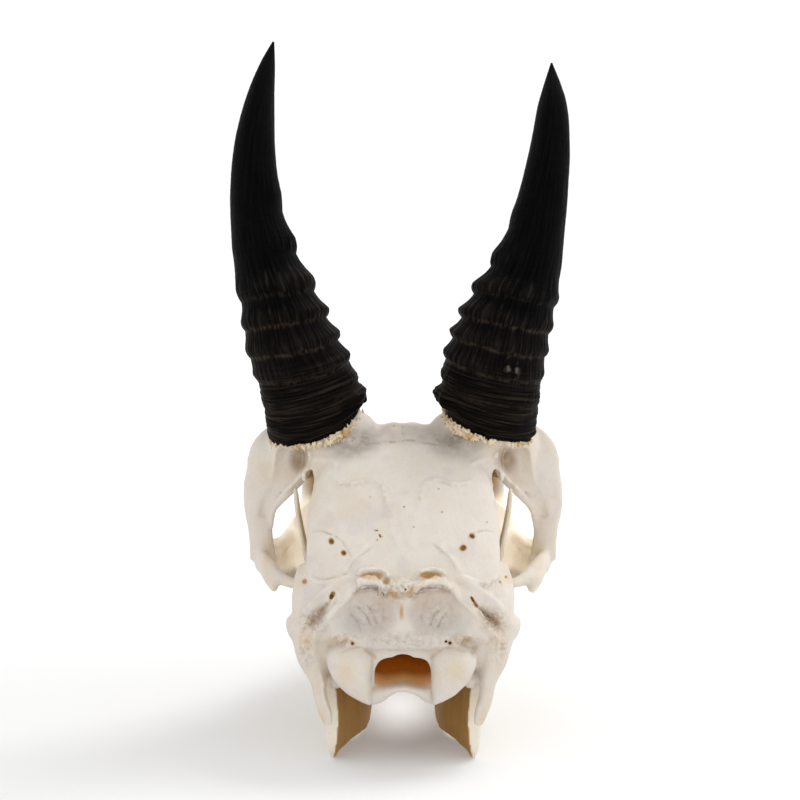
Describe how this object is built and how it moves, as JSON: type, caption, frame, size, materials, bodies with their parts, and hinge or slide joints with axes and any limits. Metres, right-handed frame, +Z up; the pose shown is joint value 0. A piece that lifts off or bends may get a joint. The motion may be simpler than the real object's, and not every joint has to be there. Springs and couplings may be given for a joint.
{
  "type": "mountain reedbuck skull",
  "caption": "Skull of a male mountain reedbuck with its lower jaw in place and black ringed horn sheaths, standing on the lower jaw.",
  "frame": {"origin": "on the floor, under the middle of the box round the whole skull", "axes": "+Y forward to the nose, +Z up along the horns, +X to the side of the horn named right, which is on the right when the skull is seen from behind"},
  "size_m": [0.1094, 0.2053, 0.2265],
  "materials": {
    "bone": "matt, pale cream, dry cleaned bone",
    "jaw_bone": "matt, tan stained bone",
    "horn": "black keratin with a low sheen, ringed and grained"
  },
  "bodies": {
    "root": {"cranium": "bone", "nasal_left": "bone", "nasal_right": "bone", "premaxilla_left": "bone", "premaxilla_right": "bone", "mandible_left": "jaw_bone", "mandible_right": "jaw_bone", "horn_left": "horn", "horn_right": "horn"}
  },
  "joints": []
}
